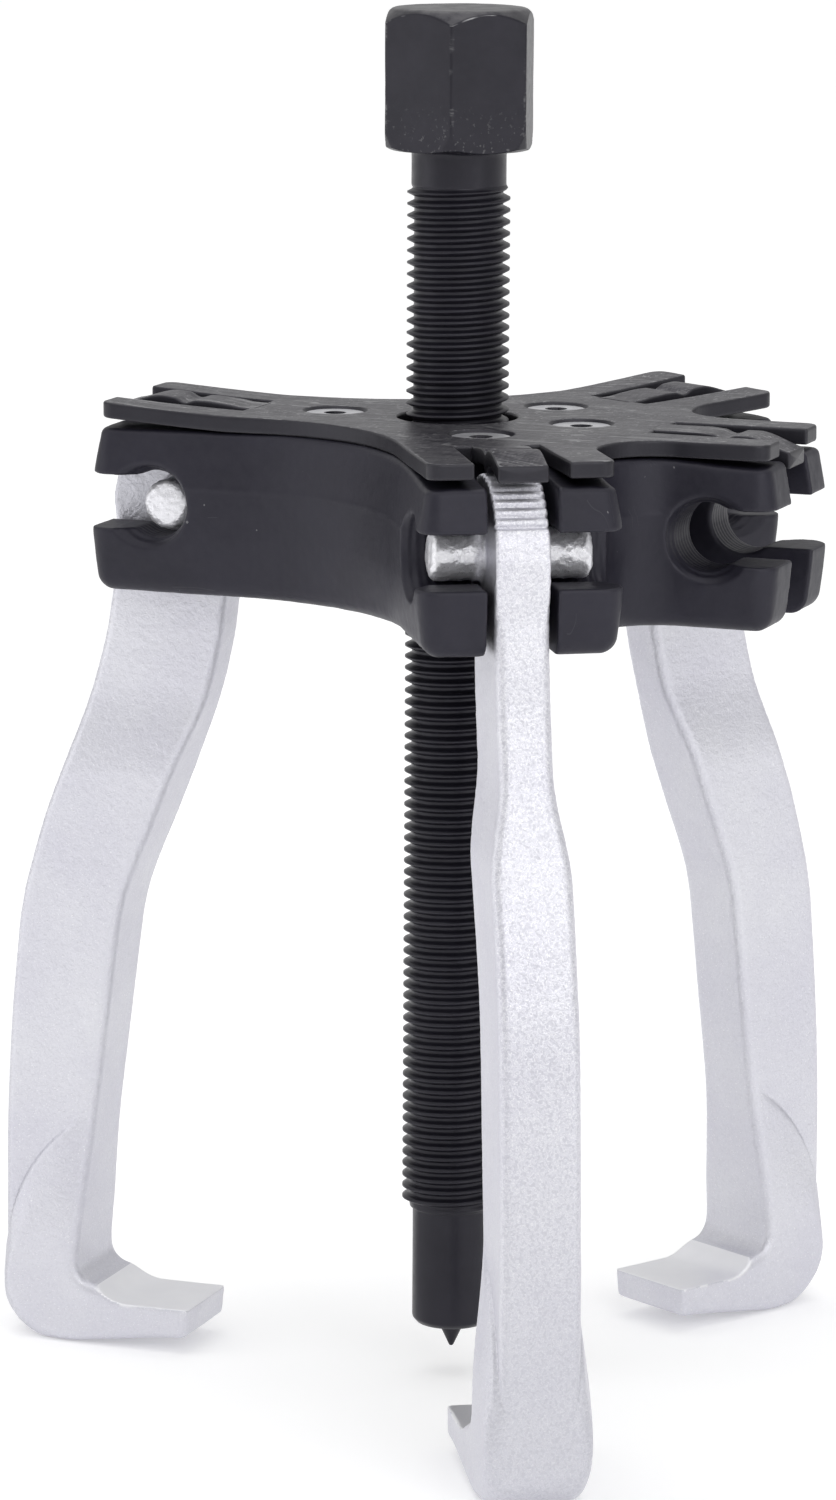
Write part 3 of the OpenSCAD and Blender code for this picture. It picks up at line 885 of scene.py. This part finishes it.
def even_angles(count):
    return np.arange(count) * 2 * math.pi / count


def hexagon(half_flats, from_corner):
    """Radius of a hexagon at an angle from a corner, 0 to 60 degrees, in radians."""
    return half_flats / np.cos(from_corner - math.pi / 6)


# ------------------------------------------------------------------ spindle
SPINDLE_FOOT = [  # (radius, z): up the ring-grooved blind bore reversed, then up the outside
    (0.05, 19.15), (3.05, 19.15), (3.05, 6.8), (3.05, 6.78), (3.75, 6.78), (3.75, 5.22),
    (3.05, 5.22), (3.05, 5.2), (3.05, 0.3), (3.25, 0.05), (3.3, 0.0), (5.0, 0.0), (7.2, 0.0),
    (7.45, 0.03), (7.7, 0.12), (8.42, 0.95), (8.56, 1.2), (8.62, 1.5), (8.65, 1.9), (8.65, 6),
    (8.65, 12), (8.65, 18), (8.65, 24), (8.65, 25.6), (8.68, 25.95), (8.8, 26.2), (9.05, 26.3),
    (9.3, 26.35)]
SPINDLE_NECK = [  # (radius, z)
    (10.1, 250.25), (10.1, 251), (10.1, 253.5), (10.1, 256), (10.12, 256.9), (10.3, 257.25),
    (10.7, 257.45), (12.0, HEX_BASE), (14.2, HEX_BASE), (14.75, 257.56)]
SPINDLE_TOP = [  # (radius, z)
    (14.35, 287.22), (13.9, 287.38), (13.2, 287.46), (12.0, HEX_TOP), (9.0, HEX_TOP),
    (6.0, HEX_TOP), (3.0, HEX_TOP), (0.8, HEX_TOP)]
HEX_HALF_FLATS, HEX_CORNER_RADIUS = 15.0, 17.2


def build_spindle():
    count = 144
    # the angles crowd together at the hexagon's corners
    sixths = np.arange(count) / count * 6
    crowding = 0.80 * np.sin(2 * math.pi * (sixths % 1)) / (2 * math.pi)
    shares = (np.floor(sixths) + (sixths % 1) - crowding) / 6
    spindle = Turned(math.radians(HEX_BEARING) + shares * 2 * math.pi)
    spindle.rings(SPINDLE_FOOT)
    spindle.thread(shares, bottom=26.35, top=250.2, pitch=2.5, crest=10.98, root=9.47,
                   radii=(9.3, 10.1), fades=(1.2, 1.6))
    spindle.rings(SPINDLE_NECK)
    # hexagon head: the prism cut by turned cones below and above
    prism = hexagon(HEX_HALF_FLATS, (sixths % 1 - crowding) * math.pi / 3)
    prism = np.minimum(prism, HEX_CORNER_RADIUS)
    for z in np.linspace(257.62, 258.3, 5):
        spindle.ring(np.minimum(prism, 14.95 + (z - 257.62) * 2.1), z)
    for z in np.linspace(258.5, 261.3, 12):
        spindle.ring(np.minimum(prism, 16.42 + (z - 258.4) * 0.26), z)
    for z in np.linspace(261.8, 283.4, 14):
        spindle.ring(prism, z)
    for z in np.linspace(283.8, 287.0, 22):
        spindle.ring(np.minimum(prism, 17.7 - (z - 284.1) * 1.05), z)
    spindle.rings(SPINDLE_TOP)
    points, tris, quads = spindle.mesh()

    normals = vertex_normals(points, tris, quads)
    on_head = smooth01((points[:, 2] - 257) / 1.0)
    head_skin = 0.05 * value_noise(points, 9.0, 21) + 0.02 * value_noise(points, 2.0, 22) - 0.04
    skin = on_head * head_skin + (1 - on_head) * 0.008 * value_noise(points, 1.6, 23)
    points = points + normals * skin[:, None]
    points[:, 2] = np.minimum(points[:, 2], HEX_TOP)
    piece = mesh_object("forcing_spindle", points, tris, quads, SPINDLE)
    fit(piece, "screw", "spindle")


POINT_PROFILE = [  # (radius, z): from the tip up, with a ring groove round z 6
    (0.02, -5.7), (0.36, -5.68), (0.52, -5.5), (1.0, -4.45), (1.7, -2.95), (2.45, -1.35),
    (2.86, -0.47), (2.94, -0.3), (2.95, -0.1), (2.96, 0.0), (2.98, 0.25), (3.0, 0.4),
    (3.0, 0.6), (3.0, 5.15), (2.95, 5.2), (2.32, 5.22), (2.3, 5.3), (2.3, 6.7), (2.32, 6.78),
    (2.95, 6.8), (3.0, 6.85), (3.0, 12.3), (2.9, 12.6), (2.4, 13.0), (0.3, 13.0)]


def build_point():
    point = Turned(even_angles(48))
    point.rings(POINT_PROFILE)
    piece = mesh_object("live_centre_point", *point.mesh(), SPINDLE)
    fit(piece, "point", "centre_point")


# ------------------------------------------------------------------ plate screws
SCREW_FACE_Z = PLATE_TOP - 0.65
# (radius, z from the face): the tip below the thread, then the cone, rim and face above it
SCREW_TIP = [(0.3, -14), (2.0, -14), (2.3, -13.9)]
SCREW_HEAD = [(2.62, -3.75), (2.92, -3.48), (6.15, -0.25), (6.27, -0.14), (6.3, -0.08),
              (6.26, -0.03), (6.15, 0.0), (4.6, 0.0), (3.0, 0.0)]


def build_screw(key, bearing):
    count = 48
    angles = even_angles(count)
    top = SCREW_FACE_Z
    screw = Turned(angles)
    screw.rings(SCREW_TIP, base=top)
    screw.thread(np.arange(count) / count, bottom=top - 13.8, top=top - 3.9, pitch=1.0,
                 crest=2.9, root=2.42, radii=(2.4, 2.6), fades=(0.5, 0.5))
    screw.rings(SCREW_HEAD, base=top)
    turn = math.radians(SOCKET_TURN[key])
    socket = hexagon(2.0, (angles + turn) % (math.pi / 3))
    screw.rings([
        (np.maximum(socket + 0.22, 2.45), 0.0), (socket + 0.08, -0.06), (socket, -0.2),
        (socket, -1.2), (socket, -2.1), (socket * 0.97, -2.25), (1.6, -2.3), (0.3, -2.75),
    ], base=top)
    points, tris, quads = screw.mesh()
    # the socket's well gets the dark material, as painted shade
    well = (np.hypot(points[:, 0], points[:, 1]) < 2.5) & (points[:, 2] > top - 3)
    points[:, 0] += SCREW_RADIUS
    piece = mesh_object("countersunk_screw_" + key, rotate_z(points, bearing), tris, quads,
                        SCREW, SOCKET_SHADE)
    use_second_material(piece, well[quads].all(1), well[tris].all(1))
    fit(piece, "crosshead", "plate_screw_" + key)


# ------------------------------------------------------------------ legs
# A leg is shaped about its pivot: x outwards from the spindle, y across, z up.
LEG_STATIONS = [  # (z, inner x, outer x)
    (0, -13, 15), (-10, -11.8, 16.1), (-21.5, -9.1, 17.9), (-31.5, -7.7, 19.6),
    (-45, -4.3, 23.4), (-58.5, 1.4, 28.0), (-72, 6.9, 33.2), (-86, 12.7, 37.4),
    (-94, 14.9, 39.1), (-101, 15.9, 40.0), (-121, 18.5, 41.8), (-144, 21.5, 42.9),
    (-171, 24.6, 43.1)]
FOOT_Z = -192.0
TOE = [(19.6, -178.1), (16, -178.9), (10, -179.7), (-2.35, -180.2), (-2.35, -182.2),
       (-1.85, -187.4), (-0.6, -188.1), (25, FOOT_Z + 0.6)]    # (x, z)
LEG_HEAD_RADIUS = 16.5
TOOTH_PITCH = 8.3               # degrees round the head
PIN_RADIUS, PIN_HALF_LENGTH = 5.4, 17.0
GRIP_RADIUS, GRIP_X, GRIP_CENTRE_Z = 9.5, 12.6, -171.85     # run-out arc of the milled face
CREASE_Z = -171.5               # centre height of the arched crease above the foot


def smooth_stations(stations, steps):
    """A Catmull-Rom curve through the stations."""
    stations = np.array(stations, float)
    rows = []
    last = len(stations) - 1
    for i in range(last):
        before, here = stations[max(i - 1, 0)], stations[i]
        ahead, beyond = stations[i + 1], stations[min(i + 2, last)]
        for k in range(steps):
            t = k / steps
            rows.append(0.5 * (2 * here + (ahead - before) * t
                               + (2 * before - 5 * here + 4 * ahead - beyond) * t * t
                               + (3 * here - before - 3 * ahead + beyond) * t ** 3))
    rows.append(stations[-1])
    return rows


def arc(x, z, radius, start, end, steps):
    angles = [math.radians(start + (end - start) * k / steps) for k in range(steps + 1)]
    return [(x + radius * math.cos(a), z + radius * math.sin(a)) for a in angles]


def leg_outline():
    stations = smooth_stations(LEG_STATIONS, 6)
    inner = [(inner_x, z) for z, inner_x, _ in stations]
    outer = [(outer_x, z) for z, _, outer_x in stations[::-1]]
    throat = arc(20.0, -173.2, radius=4.6, start=0, end=-80, steps=9)
    heel = arc(33.1, FOOT_Z + 10.4, radius=10.2, start=-100, end=-4, steps=14)
    return np.array(inner + throat + TOE + heel + outer)


def grip_cut(x, z):
    """What milling the gripping face removes: flat at the toe, an arc at the shank."""
    return np.where(x < GRIP_X, GRIP_CENTRE_Z - GRIP_RADIUS - z,
                    np.hypot(x - GRIP_X, z - GRIP_CENTRE_Z) - GRIP_RADIUS)


def toothed_head(x, z):
    """The round head, with teeth cut from its outer side over the top."""
    angle = np.degrees(np.arctan2(z, x))
    phase = (angle - 90.0) / TOOTH_PITCH + 0.5
    saw = np.abs(phase - np.round(phase)) * 2       # 0 in a gap, 1 at a crest
    toothed = smooth01((angle - 24) / 3) * smooth01((150 - angle) / 4)
    return (np.hypot(x, z) - LEG_HEAD_RADIUS
            + 0.95 * toothed * (1 - smooth01(saw / 0.62)))


def leg_half_thickness(x, z):
    half = 5.7 + 2.75 * smooth01((-z - 42) / 21)
    crease = CREASE_Z + np.sqrt(np.maximum(36.0 ** 2 - (x - 6.1) ** 2, 0))
    crease = np.where(x > 41.5, CREASE_Z + 6.6 - (x - 41.5) * 4.0, crease)
    below = np.maximum(crease - z, 0)
    outer = smooth01((x - 22) / 9)      # the crease shows towards the outer edge only
    reach = 24 - 9 * smooth01((x - 26) / 15)
    inner_swell = smooth01((-z - 136) / 40)
    outer_swell = 0.38 * (1 - np.exp(-below / 0.9)) + 0.62 * smooth01(below / reach)
    groove = 0.16 * outer * np.exp(-((crease - z) / 0.7) ** 2) * (z > CREASE_Z + 0.5)
    return half + 2.95 * ((1 - outer) * inner_swell + outer * outer_swell) - groove


def leg_edge_radius(x, z):
    """Softer edges on the shank and foot, crisper on the toothed head and the toe."""
    radius = 0.55 + 1.75 * smooth01((-z + 2 - 0.25 * x) / 16)
    radius = radius - 1.3 * smooth01((6.0 - x) / 10) * smooth01((-z - 176) / 3)
    radius = radius + 3.7 * smooth01((-z - 176) / 12) * smooth01((x - 27) / 12)
    return (radius + 0.3 * smooth01((-z - 186) / 3) * smooth01((16 - x) / 8)
            * smooth01((x + 6) / 4))


def leg_mesh():
    """The bare leg, which all three share."""
    spacing = 0.38
    low, high = (-19.0, -18.2, -194.5), (45.5, 18.2, 18.5)
    xs, ys, zs = grid_axes(low, high, spacing)
    x, z = np.meshgrid(xs, zs, indexing="ij")
    across = np.abs(ys[None, :, None])
    outline = join(polygon_distance(x, z, leg_outline()), toothed_head(x, z), 3.0)
    leg = overlap(outline[:, None, :], across - leg_half_thickness(x, z)[:, None, :],
                  leg_edge_radius(x, z)[:, None, :])
    # cross pins with domed ends and a small fillet into the head
    radius = np.hypot(x, z)[:, None, :]
    dome = 0.35 * (radius / PIN_RADIUS) ** 2
    pin = overlap(radius - PIN_RADIUS, across - PIN_HALF_LENGTH + dome, 1.7)
    leg = join(leg, pin, 1.3)
    # milled gripping face, run out against the shank
    x, z = xs[:, None, None], zs[None, None, :]
    leg = carve(leg, np.maximum(grip_cut(x, z), z + 168.0), 0.25)
    return field_mesh(leg, low, spacing)


def build_leg(key, bearing, seed, points, tris, quads):
    normals = vertex_normals(points, tris, quads)
    x, y, z = points.T
    radius = np.hypot(x, z)
    milled = ((x < 20.2) & (z < -177.6) & (np.abs(grip_cut(x, z)) < 0.22)
              & (normals[:, 2] > 0.55))
    toothed = (radius > 14.4) & (z > 3) & (np.abs(y) < 6.2) & (np.abs(normals[:, 1]) < 0.5)
    on_pin = smooth01((np.abs(y) - 6.6) / 1.5) * (radius < 6.6)

    # shot-blasted forging skin: worm-like peel on top of slow waves, rougher on the pins
    place = points + np.array([0, 0, seed * 40.0])

    def skin_noise(scale, number):
        return value_noise(place, scale, number + seed)

    ridges = 1 - np.abs(skin_noise(1.35, 31)) * 2
    peel = 0.026 * ridges + 0.03 * skin_noise(0.95, 35)
    peel_amount = 0.75 + 0.45 * smooth01((z + 110) / 60)
    pin_skin = 0.13 * skin_noise(1.3, 37) + 0.07 * skin_noise(0.8, 39)
    skin = 0.06 * skin_noise(13.0, 33) + peel_amount * peel - 0.05 + on_pin * pin_skin
    amount = np.where(milled, 0.08, np.where(toothed, 0.3, 1.0))
    points = points + normals * (amount * skin)[:, None]

    # painted highlight along where the ground gripping face breaks out through the sides
    x, y, z = points.T
    ground = (smooth01(1 - np.abs(grip_cut(x, z)) / 0.75) * smooth01((np.abs(y) - 10.0) / 0.8)
              * (x < 22.6) * (x > -1.5) * (z < -170))
    ground = ground * smooth01(0.55 + 1.6 * skin_noise(2.2, 41))
    # painted shade on the flat sides that stand in the crosshead's slot
    painted_slot_shade = (smooth01((np.abs(normals[:, 1]) - 0.55) / 0.3) * smooth01((z + 19.5) / 4.0)
                 * (np.abs(y) < 6.6) * (x < 14.5 + 4 * smooth01((z + 6) / 6)))

    placed = rotate_z(points + np.array([PIVOT_RADIUS, 0, PIVOT_Z]), bearing)
    piece = mesh_object("hook_leg_" + key, placed, tris, quads, ZINC, MILLED)
    for name, values in (("pin", on_pin), ("painted_edge_highlight", ground), ("painted_slot_shade", painted_slot_shade)):
        attribute = piece.data.attributes.new(name, "FLOAT", "POINT")
        attribute.data.foreach_set("value", values.astype(FLOAT))
    use_second_material(piece, milled[quads].sum(1) >= 3, milled[tris].sum(1) >= 2)
    fit(piece, "jaw_" + key, "leg_" + key)


# ------------------------------------------------------------------ assembly
build_crosshead()
build_plate()
build_spindle()
build_point()
for key, bearing in ARMS:
    build_screw(key, bearing)
    build_tongue(key, bearing, 0.0 if key == "empty" else TONGUE_LIFT)
bare_leg = leg_mesh()
for seed, key in enumerate(("left", "front", "right")):
    build_leg(key, dict(ARMS)[key], seed, *bare_leg)
for name in ("thrust_ball", "retaining_ring"):
    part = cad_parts[name]
    part.data.materials.clear()
    part.data.materials.append(STEEL)

# ------------------------------------------------------------------ camera
CAMERA_DIP = math.radians(10.815)       # looking down
CAMERA_ROLL = math.radians(0.317)
CAMERA_TURN = 20.184                    # degrees about z from looking along +y
CAMERA_DISTANCE = 1267.43
CAMERA_AIM = np.array([-8.026, 0, -72.764])     # from the plate's top, before the turn


def build_camera():
    forward = np.array([0, math.cos(CAMERA_DIP), -math.sin(CAMERA_DIP)])
    level_up = np.array([0, math.sin(CAMERA_DIP), math.cos(CAMERA_DIP)])
    level_right = np.array([1.0, 0, 0])
    cos, sin = math.cos(CAMERA_ROLL), math.sin(CAMERA_ROLL)
    right = level_right * cos + level_up * sin
    up = -level_right * sin + level_up * cos
    place = CAMERA_AIM - forward * CAMERA_DISTANCE
    columns = rotate_z(np.array([right, up, -forward, place]), CAMERA_TURN)
    columns[3] = (columns[3] + np.array([0, 0, PLATE_TOP])) * MILLI
    matrix = np.eye(4)
    matrix[:3] = columns.T
    data = bpy.data.cameras.new("camera")
    data.sensor_fit = "VERTICAL"
    data.sensor_height = 36.0
    data.lens = 140.70576
    data.clip_end = 20.0
    camera = add_object("camera", data)
    camera.matrix_world = Matrix(matrix.tolist())
    bpy.context.scene.camera = camera


# ------------------------------------------------------------------ lights, world, floor
LIGHT_TARGET = (0, 0, 0.13)


def add_light(name, place, size, power, target=LIGHT_TARGET):
    data = bpy.data.lights.new(name, "AREA")
    data.shape = "RECTANGLE"
    data.size, data.size_y = size
    data.energy = power
    light = add_object(name, data)
    light.location = place
    aim = Vector(target) - Vector(place)
    light.rotation_euler = aim.to_track_quat("-Z", "Y").to_euler()


def around(degrees, distance, z):
    """A place by its bearing from the camera's, counter-clockwise seen from above."""
    angle = math.radians(CAMERA_TURN) + math.radians(-90 + degrees)
    return (distance * math.cos(angle), distance * math.sin(angle), z)


def build_world():
    world = bpy.data.worlds.new("studio")
    bpy.context.scene.world = world
    sky = Shader(world, final="Background", coordinates="Generated")
    height = sky.axes(sky.place)[2] * 0.5 + 0.5     # 0 straight down, 1 straight up
    sky.set(Color=height.ramp(stops=[(0.0, 0.8), (0.48, 0.72), (0.75, 0.86), (1.0, 0.95)]),
            Strength=0.78)


def build_floor():
    """A pale floor that glows a little, more so far away."""
    paint = new_paint("floor_pale")
    paint.blend(paint.noise(scale=6, detail=3), (0.90, 0.90, 0.905), (0.93, 0.93, 0.93))
    distance = paint.vector("LENGTH", paint.place, output="Value")
    glow = (distance * 0.4).ramp(stops=[(0.1, 0.50), (0.6, 0.86)]) * 0.44
    paint.set(Base_Color=paint.colour, Roughness=0.85, Emission_Color=(1, 1, 1),
              Emission_Strength=glow)
    z = float(cad_box[0][2])
    reach = 16.0
    mesh = bpy.data.meshes.new("floor")
    mesh.from_pydata([(-reach, -reach, z), (reach, -reach, z), (reach, reach, z),
                      (-reach, reach, z)], [], [(0, 1, 2, 3)])
    mesh.materials.append(paint.owner)
    add_object("floor", mesh)


build_camera()
add_light("key_top", place=(0.0, 0.0, 1.3), size=(1.2, 1.2), power=5.0, target=(0, 0, 0.1))
add_light("soft_left", place=around(degrees=-82, distance=1.2, z=0.45), size=(0.8, 1.3),
          power=2.6)
add_light("soft_right", place=around(degrees=47, distance=1.3, z=0.40), size=(0.5, 1.0),
          power=1.25)
add_light("front_high", place=around(degrees=17, distance=1.3, z=0.80), size=(0.9, 0.6),
          power=3.6)
build_world()
build_floor()
bpy.context.scene.view_settings.view_transform = "Standard"
bpy.context.scene.view_settings.look = "None"
